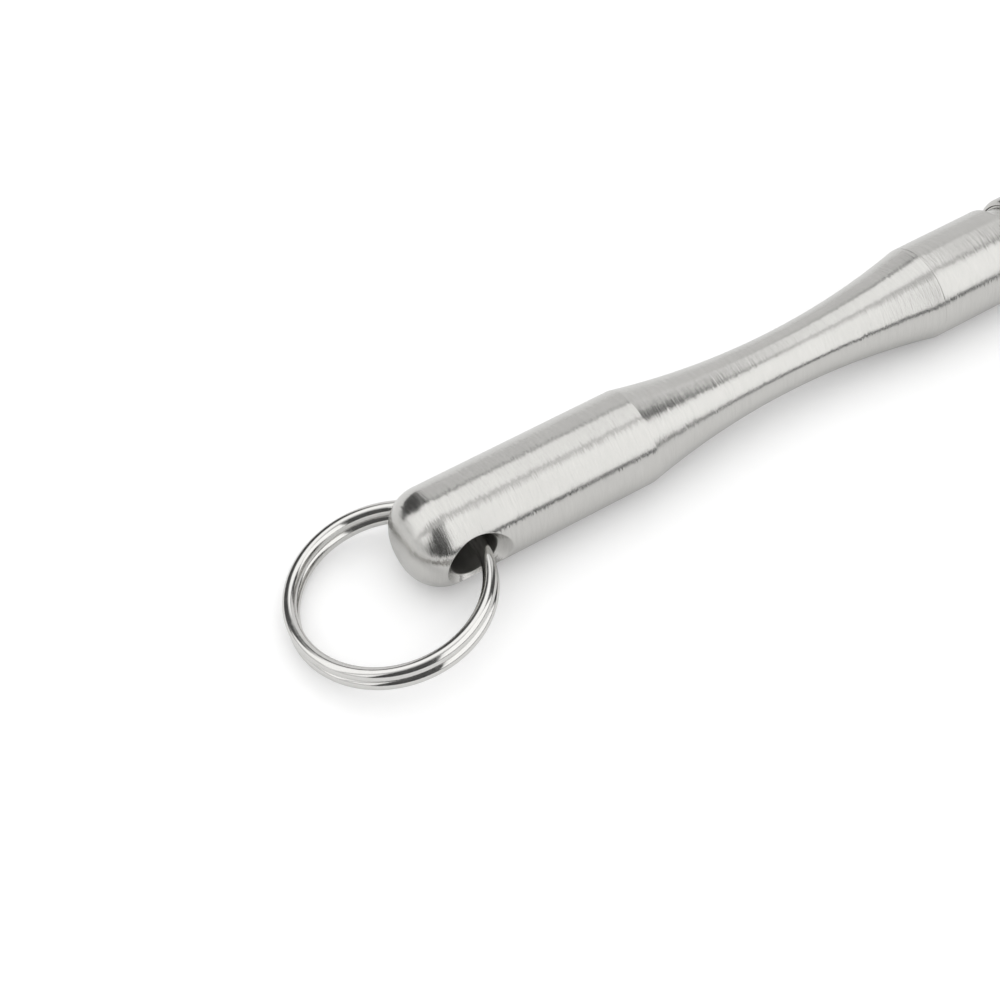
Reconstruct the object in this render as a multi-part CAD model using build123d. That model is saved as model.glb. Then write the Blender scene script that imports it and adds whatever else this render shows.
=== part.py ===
from build123d import *
from math import asin, cos, degrees, radians, sin, sqrt
import os

# Keychain flashlight: a turned stainless stick with a waisted grip, a split ring through a cross
# hole in its domed tail, and a twist head that holds the light.
# Millimetres. +X runs along the axis from the tail to the light, +Z is up. The origin is on the axis
# at the front face of the head shell, where the bezel seats.
# Diameters end in _D. A name that ends in _SIDE is a clearance on each side.

# ---- driving sizes: outside ----
TAIL_LEN = 36.6               # tail tip to the rear ridge
TAIL_ROUND = 5.45             # radius that rounds off the tail
WAIST_LEN = 50.2              # rear ridge to front ridge
WAIST_DEPTH = 2.6             # how deep the waist is cut half way along
SEAM_BEVEL = 0.2              # broken edges on both sides of the seam at the front ridge
BODY_STEP = 0.7               # outside of the grip and barrel above the neck's thread
BARREL_CHAMFER = 0.8
NECK_GAP = 2.4                # bare neck between barrel and head with the light off
HEAD_WALL = 0.7               # head shell outside its skirt bore
SHELL_ROUND = 1.2             # rounded rear shoulder of the head, cut off where it meets the skirt bore
BEZEL_FLANGE = 1.6            # part of the bezel that stands in front of the shell
BEZEL_CHAMFER = 0.5

# ---- driving sizes: cross hole and split ring ----
HOLE_FROM_TAIL = 8.1
HOLE_D = 7.2
SINK_WIDTH = 1.5              # countersink's edge at the bar's side outside the hole
SINK_DEPTH = 1.7
RING_REACH = 6.3              # ring's centre line outside the bar's radius, if they shared a centre
RING_WIRE_D = 1.9
RING_HOLE_GAP = 0.91          # wire to the front side of the hole
RING_MOUTH_GAP = 1.03         # wire to the rear edge of the +Y mouth
RING_PITCH = 8.31             # degrees that the ring sinks towards its far end
RING_SAG = 0.27               # how far it lies below the hole's axis, as a share of its room in the hole
RING_LEAN = 1.2               # fall towards the +Y mouth for each millimetre of room past the next size
RING_UPRIGHT_ROOM = 0.904     # room in the hole that would keep the ring upright
CROSSOVER_AT = 29.0           # where on the ring the wire climbs from the lower turn to the upper
CROSSOVER_SPAN = 26.0
RING_END_GAP = 1.5            # degrees left between each wire end and the crossover

# ---- driving sizes: cell ----
CELL_D = 10.0
CELL_LEN = 18.0
WRAP_WALL = 0.1
WRAP_TURN_IN = 0.6            # bare can at each end of the wrap
CELL_ROLL = 0.5               # rolled edges of the can
CELL_SIDE = 0.15              # cell wrap to barrel bore
CAP_D = 4.0
CAP_HEIGHT = 0.7
CAP_EDGE = 0.3
CAP_BASE_LIP = 0.6            # cap's base beyond its raised middle
CAP_BASE_THICK = 0.4
CELL_GASKET_WALL = 1.6

# ---- driving sizes: contact spring ----
SPRING_LEN = 7.78             # as the cell presses it
SPRING_WIRE_D = 0.7
SPRING_D = 6.4                # mean diameter
SPRING_TURNS = 5
PLATE_THICK = 0.6
PLATE_SIDE = 0.15             # spring plate to barrel bore
BOSS_SIDE = 0.3               # spring to the boss that centres it
BOSS_HEIGHT = 0.5

# ---- driving sizes: joint between handle and barrel ----
SOCKET_WALL = 1.0
SPIGOT_LEN = 7.0
SPIGOT_CHAMFER = 0.5
SPIGOT_GLAND_DEPTH = 0.8
SPIGOT_GLAND_WIDTH = 1.4
SOCKET_SPARE = 0.8            # socket beyond the end of the spigot

# ---- driving sizes: neck of the barrel and the head that turns on it ----
NECK_WALL = 1.05              # cell bore to the thread's crest
NECK_THREAD_LEN = 8.0
NECK_RELIEF_DEPTH = 0.25      # bare neck below the thread's crest
NECK_RELIEF_LEN = 2.6
NECK_LAND = 0.6               # each side of the seal's gland
NECK_GLAND_DEPTH = 0.55
NECK_GLAND_WIDTH = 1.2
NOSE_LEN = 3.75               # plain nose in front of the thread
NOSE_STEP = 0.3               # nose below the thread's crest
HEAD_THREAD_SIDE = 0.05
HEAD_THREAD_SPARE = 0.5       # thread left in front of the neck's with the head screwed down
SKIRT_SIDE = 0.1              # plain skirt of the head over the neck
SKIRT_LEN = 4.1
SEAL_SIDE = 0.07              # lubricated neck seal inside the skirt
HEAD_TRAVEL = 1.0             # one turn of the head moves it this far back
TRAVEL_SPARE = 0.05           # left at the end of the travel

# ---- driving sizes: bezel and optics ----
BEZEL_WALL = 0.8              # head shell outside the bezel's thread
BEZEL_SPIGOT = 1.6
BEZEL_THREAD_SPARE = 0.2      # thread in the shell beyond the bezel's spigot
OPTIC_STEP = 0.3              # lens and reflector below the bezel's thread
OPTIC_SIDE = 0.1
GASKET_WIDTH = 0.6
GASKET_THICK = 0.6
LENS_THICK = 1.2
LENS_CHAMFER = 0.2
REFLECTOR_LEN = 7.4
REFLECTOR_RIM = 0.8
REFLECTOR_BACK_STEP = 0.1     # bowl's outside below its rim
REFLECTOR_LIP = 0.7           # flat rim round the bowl's mouth
REFLECTOR_THROAT_D = 3.4
REFLECTOR_WALL = 0.6

# ---- driving sizes: emitter, pill and driver ----
PACKAGE_SIZE = 3.45
PACKAGE_THICK = 0.6
DOME_D = 2.6
DIE_SIZE = 1.4
DIE_THICK = 0.15
SPACER_D = 6.2
SPACER_BORE_D = 5.0
LED_BOARD_D = 10.0
LED_BOARD_THICK = 0.8
LED_BOARD_SIDE = 0.1
CHAMBER_STEP = 0.15           # bore for pill and driver below the head's thread
PILL_LEN = 4.4
PILL_FLOOR = 2.0
PILL_WALL = 0.78
DRIVER_THICK = 0.8
RETAINER_THICK = 1.2
RETAINER_WIDTH = 1.88
SPANNER_SLOT = (1.0, 0.6)     # width and depth of the slots across the retainer
CONTACT_D = 3.6
CONTACT_FLANGE = 0.4          # contact's foot beyond its shank
CONTACT_FOOT_THICK = 0.3
INSULATOR_WIDTH = 1.58
INSULATOR_THICK = 0.5
LEAD_D = 0.7
LEAD_SIDE = 0.15
LEAD_PROUD = 0.3
LEAD_FROM_AXIS = 3.9

# ---- driving sizes: parts on the driver board, across (Y, Z) ----
CHIP_SIZE = (4.0, 2.6)
CHIP_HEIGHT = 1.2
CHIP_Z = 2.1
COIL_SIZE = (3.2, 3.0)
COIL_HEIGHT = 1.4
COIL_Z = -2.2
COIL_ROUND = 0.6
PASSIVE_SIZE = (0.8, 1.6)
PASSIVE_HEIGHT = 0.5
PASSIVE_Y = 2.9
PASSIVE_ROWS = (0.2, -2.6)    # heights of the upper and the lower pair

# ---- clearances that many pieces share ----
SLIP = 0.02                   # each side, pieces pressed or screwed into one another
TOUCH = 0.02                  # between faces that turn against each other
GLAND_PLAY = 0.08             # each end of a seal in its gland
SEAL_ROUNDING = 0.42          # corner radius of a squeezed seal, as a share of its height

# ---- diameters, from the cell outwards ----
cell_bore_d = CELL_D + 2 * (WRAP_WALL + CELL_SIDE)
neck_thread_d = cell_bore_d + 2 * NECK_WALL
neck_gland_d = neck_thread_d - 2 * NECK_GLAND_DEPTH
body_d = neck_thread_d + 2 * BODY_STEP
body_r = body_d / 2
socket_d = body_d - 2 * SOCKET_WALL
spigot_fit_d = socket_d - 2 * SLIP
spigot_gland_d = socket_d - 2 * SPIGOT_GLAND_DEPTH
skirt_bore_d = neck_thread_d + 2 * SKIRT_SIDE
head_thread_bore_d = neck_thread_d + 2 * HEAD_THREAD_SIDE
head_r = skirt_bore_d / 2 + HEAD_WALL
chamber_d = head_thread_bore_d - 2 * CHAMBER_STEP
chamber_fit_d = chamber_d - 2 * SLIP
bezel_thread_d = 2 * (head_r - BEZEL_WALL)
optic_d = bezel_thread_d - 2 * OPTIC_STEP
bezel_bore_d = optic_d - 2 * GASKET_WIDTH
cap_base_d = CAP_D + 2 * CAP_BASE_LIP
cell_gasket_d = cap_base_d + 2 * CELL_GASKET_WALL
contact_foot_d = CONTACT_D + 2 * CONTACT_FLANGE
lead_hole_d = LEAD_D + 2 * LEAD_SIDE
ring_mean_r = body_r + RING_REACH

# ---- how the ring lies in its hole ----
ring_room = HOLE_D / 2 - RING_WIRE_D
ring_play = HOLE_D / 2 - RING_WIRE_D / 2 - RING_HOLE_GAP
ring_bow = HOLE_D / 2 + SINK_WIDTH + ring_play - RING_WIRE_D / 2 - RING_MOUTH_GAP
ring_half_chord = sqrt(ring_mean_r**2 - (ring_mean_r - ring_bow) ** 2)
ring_side = ring_half_chord - body_r
ring_drop = ring_mean_r * sin(radians(RING_PITCH)) + RING_SAG * ring_room
ring_roll = degrees(asin(RING_LEAN * (ring_room - RING_UPRIGHT_ROOM) / ring_half_chord))

# ---- places along the axis, from the head's front face backwards ----
lens_front_x = -BEZEL_SPIGOT - GASKET_THICK
reflector_front_x = lens_front_x - LENS_THICK
reflector_rear_x = reflector_front_x - REFLECTOR_LEN
led_board_front_x = reflector_rear_x - PACKAGE_THICK
pill_front_x = led_board_front_x - LED_BOARD_THICK
pill_rear_x = pill_front_x - PILL_LEN
driver_rear_x = pill_rear_x - DRIVER_THICK
retainer_rear_x = driver_rear_x - RETAINER_THICK

neck_front_x = retainer_rear_x - HEAD_TRAVEL - TRAVEL_SPARE
nose_rear_x = neck_front_x - NOSE_LEN
neck_gland_front_x = nose_rear_x - NECK_THREAD_LEN - NECK_LAND
neck_gland_x = neck_gland_front_x - NECK_GLAND_WIDTH
relief_front_x = neck_gland_x - NECK_LAND
barrel_front_x = relief_front_x - NECK_RELIEF_LEN
shell_rear_x = barrel_front_x + NECK_GAP
skirt_front_x = shell_rear_x + SKIRT_LEN
head_thread_front_x = nose_rear_x + HEAD_TRAVEL + HEAD_THREAD_SPARE

cap_front_x = retainer_rear_x - TOUCH
can_front_x = cap_front_x - CAP_HEIGHT
cap_seat_x = can_front_x - CAP_BASE_THICK
can_rear_x = cap_front_x - CELL_LEN
plate_front_x = can_rear_x - SPRING_LEN
spigot_front_x = plate_front_x - PLATE_THICK
socket_floor_x = spigot_front_x + SOCKET_SPARE
front_ridge_x = spigot_front_x - SPIGOT_LEN
rear_ridge_x = front_ridge_x - WAIST_LEN
tail_x = rear_ridge_x - TAIL_LEN
hole_x = tail_x + HOLE_FROM_TAIL


# ---- shapes that many pieces share ----
def turned(outline):
    """Solid of revolution about the X axis. The outline holds (x, radius) corners."""
    return revolve(make_face(Polyline(*outline, close=True)), Axis.X, 360)


def sleeve(x_from, x_to, outer_d, bore_d=0.0):
    """Straight round piece about the X axis, with or without a bore."""
    outer_r = outer_d / 2
    bore_r = bore_d / 2
    return turned([(x_from, bore_r), (x_from, outer_r), (x_to, outer_r), (x_to, bore_r)])


def block(x_from, x_to, across, y=0.0, z=0.0):
    """Box between two planes across the X axis. Its size across is (along Y, along Z)."""
    place = Pos((x_from + x_to) / 2, y, z)
    return place * Box(x_to - x_from, *across)


def squeezed_seal(x_from, x_to, floor_d, outer_d):
    """O-ring flattened in its gland: straight flanks with round corners."""
    height = (outer_d - floor_d) / 2
    ring = sleeve(x_from, x_to, outer_d, floor_d)
    return fillet(ring.edges(), SEAL_ROUNDING * min(height, x_to - x_from))


# ---- handle: domed tail, grip, waist and spigot, turned from one bar ----
def handle():
    spigot_r = spigot_fit_d / 2
    gland_r = spigot_gland_d / 2
    gland_front_x = front_ridge_x + SPIGOT_GLAND_WIDTH
    waist_end_x = front_ridge_x - SEAM_BEVEL
    waist_middle_x = (rear_ridge_x + waist_end_x) / 2
    round_x = tail_x + TAIL_ROUND
    tip_r = body_r - TAIL_ROUND
    outline = [
        Line((tail_x, 0), (tail_x, tip_r)),
        CenterArc((round_x, tip_r), TAIL_ROUND, 90, 90),
        Line((round_x, body_r), (rear_ridge_x, body_r)),
        ThreePointArc((rear_ridge_x, body_r), (waist_middle_x, body_r - WAIST_DEPTH), (waist_end_x, body_r)),
        Polyline(
            (waist_end_x, body_r),
            (front_ridge_x, body_r - SEAM_BEVEL),
            (front_ridge_x, gland_r),
            (gland_front_x, gland_r),
            (gland_front_x, spigot_r),
            (spigot_front_x - SPIGOT_CHAMFER, spigot_r),
            (spigot_front_x, spigot_r - SPIGOT_CHAMFER),
            (spigot_front_x, 0),
            (tail_x, 0),
        ),
    ]
    return revolve(make_face(outline), Axis.X, 360) - cross_hole()


def cross_hole():
    """Hole for the split ring, with a cone at each mouth."""
    along_y = Pos(hole_x, 0, 0) * Rot(90, 0, 0)
    hole_r = HOLE_D / 2
    cone_len = 2 * SINK_DEPTH
    bore = Cylinder(hole_r, 2 * body_d)
    cone = Cone(hole_r, hole_r + 2 * SINK_WIDTH, cone_len)
    mouth = Pos(0, 0, body_r - SINK_DEPTH + cone_len / 2) * cone
    return along_y * (bore + mouth + Rot(180, 0, 0) * mouth)


# ---- split ring: two turns of wire, with the step where one turn climbs over the other ----
def split_ring():
    """The wire starts in the lower turn, climbs at the crossover and ends in the upper turn."""
    half = RING_WIRE_D / 2
    climb_end = CROSSOVER_AT + CROSSOVER_SPAN
    turn_span = 360 - CROSSOVER_SPAN - RING_END_GAP

    def on_ring(angle, height):
        turn = radians(angle)
        return Vector(ring_mean_r * cos(turn), ring_mean_r * sin(turn), height)

    def heading(angle):
        turn = radians(angle)
        return Vector(-sin(turn), cos(turn), 0)

    def turn_of_wire(height, start_angle):
        """Part of a torus that starts at an angle and runs on for one turn's span."""
        section = Plane.XZ * Pos(ring_mean_r, height) * Circle(half)
        return Rot(0, 0, start_angle) * revolve(section, Axis.Z, turn_span)

    lower = turn_of_wire(-half, climb_end + RING_END_GAP)
    upper = turn_of_wire(half, climb_end)
    climb = Spline(
        on_ring(CROSSOVER_AT, -half),
        on_ring(CROSSOVER_AT + CROSSOVER_SPAN / 2, 0),
        on_ring(climb_end, half),
        tangents=(heading(CROSSOVER_AT), heading(climb_end)),
    )
    step = sweep(Plane(climb @ 0, z_dir=climb % 0) * Circle(half), climb)
    wire = lower + step + upper
    centre = Pos(hole_x + ring_play - ring_mean_r, -ring_side, -ring_drop)
    return centre * Rot(-ring_roll, -RING_PITCH, 0) * wire


# ---- battery barrel: the front of the grip and the threaded neck behind the head ----
def battery_barrel():
    thread_r = neck_thread_d / 2
    relief_r = thread_r - NECK_RELIEF_DEPTH
    nose_r = thread_r - NOSE_STEP
    gland_r = neck_gland_d / 2
    socket_r = socket_d / 2
    bore_r = cell_bore_d / 2
    outline = [
        (front_ridge_x, socket_r),
        (front_ridge_x, body_r - SEAM_BEVEL),
        (front_ridge_x + SEAM_BEVEL, body_r),
        (barrel_front_x - BARREL_CHAMFER, body_r),
        (barrel_front_x, body_r - BARREL_CHAMFER),
        (barrel_front_x, relief_r),
        (relief_front_x, relief_r),
        (relief_front_x, thread_r),
        (neck_gland_x, thread_r),
        (neck_gland_x, gland_r),
        (neck_gland_front_x, gland_r),
        (neck_gland_front_x, thread_r),
        (nose_rear_x, thread_r),
        (nose_rear_x, nose_r),
        (neck_front_x, nose_r),
        (neck_front_x, bore_r),
        (socket_floor_x, bore_r),
        (socket_floor_x, socket_r),
    ]
    return turned(outline)


def barrel_seal():
    rear_x = front_ridge_x + GLAND_PLAY
    front_x = front_ridge_x + SPIGOT_GLAND_WIDTH - GLAND_PLAY
    return squeezed_seal(rear_x, front_x, spigot_gland_d, spigot_fit_d)


def neck_seal():
    rear_x = neck_gland_x + GLAND_PLAY
    front_x = neck_gland_front_x - GLAND_PLAY
    return squeezed_seal(rear_x, front_x, neck_gland_d, skirt_bore_d - 2 * SEAL_SIDE)


# ---- contact spring and the plate that it is soldered to ----
def spring_plate():
    boss_d = SPRING_D - SPRING_WIRE_D - 2 * BOSS_SIDE
    plate = sleeve(spigot_front_x, plate_front_x, cell_bore_d - 2 * PLATE_SIDE)
    return plate + sleeve(plate_front_x, plate_front_x + BOSS_HEIGHT, boss_d)


def contact_spring():
    wire_r = SPRING_WIRE_D / 2
    rise = can_rear_x - plate_front_x - SPRING_WIRE_D
    coil = Helix(rise / SPRING_TURNS, rise, SPRING_D / 2)
    wire = sweep(Plane(coil @ 0, z_dir=coil % 0) * Circle(wire_r), coil, is_frenet=True)
    return Pos(plate_front_x + wire_r, 0, 0) * Rot(0, 90, 0) * wire


# ---- cell ----
def cell_can():
    can_r = CELL_D / 2
    seat_r = cell_gasket_d / 2
    outline = [
        (can_rear_x, 0),
        (can_rear_x, can_r - CELL_ROLL),
        (can_rear_x + CELL_ROLL, can_r),
        (can_front_x - CELL_ROLL, can_r),
        (can_front_x, can_r - CELL_ROLL),
        (can_front_x, seat_r),
        (cap_seat_x, seat_r),
        (cap_seat_x, 0),
    ]
    return turned(outline)


def cell_gasket():
    return sleeve(cap_seat_x, can_front_x, cell_gasket_d, cap_base_d)


def cell_cap():
    tip_r = CAP_D / 2
    outline = [
        (cap_seat_x, 0),
        (cap_seat_x, cap_base_d / 2),
        (can_front_x, cap_base_d / 2),
        (can_front_x, tip_r),
        (cap_front_x - CAP_EDGE, tip_r),
        (cap_front_x, tip_r - CAP_EDGE),
        (cap_front_x, 0),
    ]
    return turned(outline)


def cell_wrap():
    return sleeve(can_rear_x + WRAP_TURN_IN, can_front_x - WRAP_TURN_IN, CELL_D + 2 * WRAP_WALL, CELL_D)


# ---- head shell, bezel and optics ----
def head_shell():
    bezel_thread_rear_x = -BEZEL_SPIGOT - BEZEL_THREAD_SPARE
    shoulder_r = head_r - SHELL_ROUND
    outline = [
        Line((shell_rear_x, 0), (shell_rear_x, shoulder_r)),
        CenterArc((shell_rear_x + SHELL_ROUND, shoulder_r), SHELL_ROUND, 90, 90),
        Polyline((shell_rear_x + SHELL_ROUND, head_r), (0, head_r), (0, 0), (shell_rear_x, 0)),
    ]
    shell = revolve(make_face(outline), Axis.X, 360)
    shell -= sleeve(shell_rear_x, skirt_front_x, skirt_bore_d)
    shell -= sleeve(skirt_front_x, head_thread_front_x, head_thread_bore_d)
    shell -= sleeve(head_thread_front_x, pill_front_x, chamber_d)
    shell -= sleeve(pill_front_x, led_board_front_x, LED_BOARD_D + 2 * LED_BOARD_SIDE)
    shell -= sleeve(led_board_front_x, bezel_thread_rear_x, optic_d + 2 * OPTIC_SIDE)
    shell -= sleeve(bezel_thread_rear_x, 0, bezel_thread_d)
    return shell


def bezel_ring():
    spigot_r = bezel_thread_d / 2 - SLIP
    bore_r = bezel_bore_d / 2
    outline = [
        (-BEZEL_SPIGOT, bore_r),
        (-BEZEL_SPIGOT, spigot_r),
        (0, spigot_r),
        (0, body_r),
        (BEZEL_FLANGE - BEZEL_CHAMFER, body_r),
        (BEZEL_FLANGE, body_r - BEZEL_CHAMFER),
        (BEZEL_FLANGE, bore_r + BEZEL_CHAMFER),
        (BEZEL_FLANGE - BEZEL_CHAMFER, bore_r),
    ]
    return turned(outline)


def lens_gasket():
    return squeezed_seal(lens_front_x, -BEZEL_SPIGOT, bezel_bore_d, optic_d)


def lens():
    lens_r = optic_d / 2
    outline = [
        (reflector_front_x, 0),
        (reflector_front_x, lens_r - LENS_CHAMFER),
        (reflector_front_x + LENS_CHAMFER, lens_r),
        (lens_front_x - LENS_CHAMFER, lens_r),
        (lens_front_x, lens_r - LENS_CHAMFER),
        (lens_front_x, 0),
    ]
    return turned(outline)


def parabola(x_throat, throat_r, x_mouth, mouth_r):
    """Parabola about the X axis between two radii. One quadratic Bezier curve is exactly that."""
    span = x_mouth - x_throat
    focal = (mouth_r**2 - throat_r**2) / (4 * span)
    throat_slope = 2 * focal / throat_r
    mouth_slope = 2 * focal / mouth_r
    knee = (mouth_r - throat_r - mouth_slope * span) / (throat_slope - mouth_slope)
    corner = (x_throat + knee, throat_r + throat_slope * knee)
    return Bezier((x_throat, throat_r), corner, (x_mouth, mouth_r))


def reflector():
    rim_x = reflector_front_x - REFLECTOR_RIM
    rim_r = optic_d / 2
    back_r = rim_r - REFLECTOR_BACK_STEP
    mouth_r = rim_r - REFLECTOR_LIP
    throat_r = REFLECTOR_THROAT_D / 2
    outer_throat_r = throat_r + REFLECTOR_WALL
    outline = [
        parabola(reflector_rear_x, throat_r, reflector_front_x, mouth_r),
        Polyline(
            (reflector_front_x, mouth_r),
            (reflector_front_x, rim_r),
            (rim_x, rim_r),
            (rim_x, back_r),
        ),
        parabola(reflector_rear_x, outer_throat_r, rim_x, back_r),
        Line((reflector_rear_x, throat_r), (reflector_rear_x, outer_throat_r)),
    ]
    return revolve(make_face(outline), Axis.X, 360)


# ---- emitter and its board ----
def led_spacer():
    return sleeve(led_board_front_x, reflector_rear_x, SPACER_D, SPACER_BORE_D)


def led_die():
    return block(reflector_rear_x - DIE_THICK, reflector_rear_x, (DIE_SIZE, DIE_SIZE))


def led_package():
    return block(led_board_front_x, reflector_rear_x, (PACKAGE_SIZE, PACKAGE_SIZE)) - led_die()


def led_dome():
    dome_r = DOME_D / 2
    outline = [
        Line((reflector_rear_x, 0), (reflector_rear_x, dome_r)),
        CenterArc((reflector_rear_x, 0), dome_r, 0, 90),
        Line((reflector_rear_x + dome_r, 0), (reflector_rear_x, 0)),
    ]
    return revolve(make_face(outline), Axis.X, 360)


def lead_pair(x_from, x_to, diameter):
    """Two rods beside the axis: the leads themselves, or the holes that let them through."""
    rod = sleeve(x_from, x_to, diameter)
    return [Pos(0, side * LEAD_FROM_AXIS, 0) * rod for side in (1, -1)]


def led_board():
    board = sleeve(pill_front_x, led_board_front_x, LED_BOARD_D)
    return board - lead_pair(pill_front_x, led_board_front_x, lead_hole_d)


def led_leads():
    """Wires from the driver board through the pill to the front of the emitter board."""
    return lead_pair(pill_rear_x, led_board_front_x + LEAD_PROUD, LEAD_D)


# ---- heat sink pill and driver ----
def heat_sink_pill():
    floor_rear_x = pill_front_x - PILL_FLOOR
    pill = sleeve(pill_rear_x, pill_front_x, chamber_fit_d)
    pill -= sleeve(pill_rear_x, floor_rear_x, chamber_fit_d - 2 * PILL_WALL)
    return pill - lead_pair(floor_rear_x, pill_front_x, lead_hole_d)


def driver_board():
    return sleeve(driver_rear_x, pill_rear_x, chamber_fit_d)


def driver_chip():
    return block(pill_rear_x, pill_rear_x + CHIP_HEIGHT, CHIP_SIZE, z=CHIP_Z)


def driver_coil():
    core = block(pill_rear_x, pill_rear_x + COIL_HEIGHT, COIL_SIZE, z=COIL_Z)
    return fillet(core.edges().filter_by(Axis.X), COIL_ROUND)


def driver_passives():
    """Chip resistors and capacitors round the driver."""
    front_x = pill_rear_x + PASSIVE_HEIGHT
    return [
        block(pill_rear_x, front_x, PASSIVE_SIZE, side * PASSIVE_Y, z)
        for side in (1, -1)
        for z in PASSIVE_ROWS
    ]


def driver_retainer():
    """Threaded ring that clamps the driver. The barrel's nose meets it when the head is screwed down."""
    slot_width, slot_depth = SPANNER_SLOT
    ring = sleeve(retainer_rear_x, driver_rear_x, chamber_fit_d, chamber_fit_d - 2 * RETAINER_WIDTH)
    return ring - block(retainer_rear_x, retainer_rear_x + slot_depth, (chamber_fit_d, slot_width))


def positive_contact():
    foot_rear_x = driver_rear_x - CONTACT_FOOT_THICK
    foot = sleeve(foot_rear_x, driver_rear_x, contact_foot_d)
    return foot + sleeve(retainer_rear_x, foot_rear_x, CONTACT_D)


def contact_insulator():
    bore_d = contact_foot_d + 2 * SLIP
    return sleeve(driver_rear_x - INSULATOR_THICK, driver_rear_x, bore_d + 2 * INSULATOR_WIDTH, bore_d)


PIECES = [
    handle,
    split_ring,
    battery_barrel,
    barrel_seal,
    neck_seal,
    spring_plate,
    contact_spring,
    cell_can,
    cell_gasket,
    cell_cap,
    cell_wrap,
    head_shell,
    bezel_ring,
    lens_gasket,
    lens,
    reflector,
    led_spacer,
    led_package,
    led_die,
    led_dome,
    led_board,
    led_leads,
    heat_sink_pill,
    driver_board,
    driver_chip,
    driver_coil,
    driver_passives,
    driver_retainer,
    positive_contact,
    contact_insulator,
]

os.makedirs("parts", exist_ok=True)
for make in PIECES:
    made = make()
    shapes = made if isinstance(made, list) else [made]
    node = Compound(children=[solid for shape in shapes for solid in shape.solids()])
    export_step(node, f"parts/{make.__name__}.step")
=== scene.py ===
from math import acos, asin, atan2, cos, degrees, hypot, pi, radians, sin, sqrt, tan

import bmesh
import bpy
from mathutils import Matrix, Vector


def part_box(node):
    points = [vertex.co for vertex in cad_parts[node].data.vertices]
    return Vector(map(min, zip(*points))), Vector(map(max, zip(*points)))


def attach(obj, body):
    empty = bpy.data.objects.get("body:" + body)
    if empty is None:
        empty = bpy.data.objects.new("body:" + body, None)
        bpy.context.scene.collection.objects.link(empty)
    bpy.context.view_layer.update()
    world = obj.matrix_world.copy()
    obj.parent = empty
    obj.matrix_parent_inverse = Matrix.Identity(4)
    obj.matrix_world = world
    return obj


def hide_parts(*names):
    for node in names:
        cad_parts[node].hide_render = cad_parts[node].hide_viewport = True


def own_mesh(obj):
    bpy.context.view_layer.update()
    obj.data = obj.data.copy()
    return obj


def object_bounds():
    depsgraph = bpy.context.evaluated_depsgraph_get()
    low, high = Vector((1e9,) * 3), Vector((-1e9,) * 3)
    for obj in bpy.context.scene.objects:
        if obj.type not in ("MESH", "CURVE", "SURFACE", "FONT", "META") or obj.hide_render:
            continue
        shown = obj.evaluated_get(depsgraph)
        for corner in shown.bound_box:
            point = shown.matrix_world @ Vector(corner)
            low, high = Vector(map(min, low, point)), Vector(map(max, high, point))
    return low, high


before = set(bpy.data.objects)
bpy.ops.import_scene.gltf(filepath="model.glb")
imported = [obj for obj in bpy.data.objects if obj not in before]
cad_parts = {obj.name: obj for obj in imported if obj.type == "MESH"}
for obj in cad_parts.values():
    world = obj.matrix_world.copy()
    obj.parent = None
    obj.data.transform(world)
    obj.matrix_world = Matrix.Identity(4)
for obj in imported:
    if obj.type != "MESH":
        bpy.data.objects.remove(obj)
cad_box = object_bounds()

# Keychain flashlight in turned stainless steel. Outlines are in millimetres as (place along the axis,
# radius), with +X towards the light, and turn into metres as a mesh is made.

MM = 0.001
TINY = 1e-6                   # millimetres that count as nothing
AROUND = 192                  # facets around a turned piece
TURNS = [2 * pi * j / AROUND for j in range(AROUND)]
EDGE = 0.06                   # radius that breaks a turned corner
EDGE_STEPS = 4
EDGE_SHARE = 0.4              # most that a broken corner may take of the shorter side beside it
NEARLY_FLAT = radians(88)     # half the angle of a corner that is too flat to break

# ---- places along the axis and radii, read from the frame ----
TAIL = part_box("handle")[0].x / MM
SPIGOT_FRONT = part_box("handle")[1].x / MM
FRONT_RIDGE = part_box("battery_barrel")[0].x / MM
NECK_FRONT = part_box("battery_barrel")[1].x / MM
PILL_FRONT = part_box("heat_sink_pill")[1].x / MM
BOARD_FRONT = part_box("led_board")[1].x / MM
BEZEL_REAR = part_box("bezel_ring")[0].x / MM
BEZEL_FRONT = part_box("bezel_ring")[1].x / MM
BODY_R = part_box("handle")[1].z / MM
HEAD_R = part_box("head_shell")[1].z / MM
FLOOR_Z = cad_box[0][2]       # in metres, where the stick rests


# ==== outlines ====
def arc(middle, radius, start, end, steps):
    """Points of an arc in an outline. Angles are in degrees from +X towards the outside."""
    turn = [radians(start + (end - start) * i / steps) for i in range(steps + 1)]
    return [(middle[0] + radius * cos(t), middle[1] + radius * sin(t)) for t in turn]


def straight(start, end, steps):
    """Points of a straight run, both ends included."""
    share = [i / steps for i in range(steps + 1)]
    return [(start[0] + (end[0] - start[0]) * s, start[1] + (end[1] - start[1]) * s) for s in share]


def bowl(rear, front, rear_r, front_r, steps=40):
    """Points of a parabola about the axis: the square of its radius grows evenly."""
    share = [i / steps for i in range(steps + 1)]
    return [(rear + (front - rear) * s, sqrt(rear_r**2 + (front_r**2 - rear_r**2) * s)) for s in share]


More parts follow.
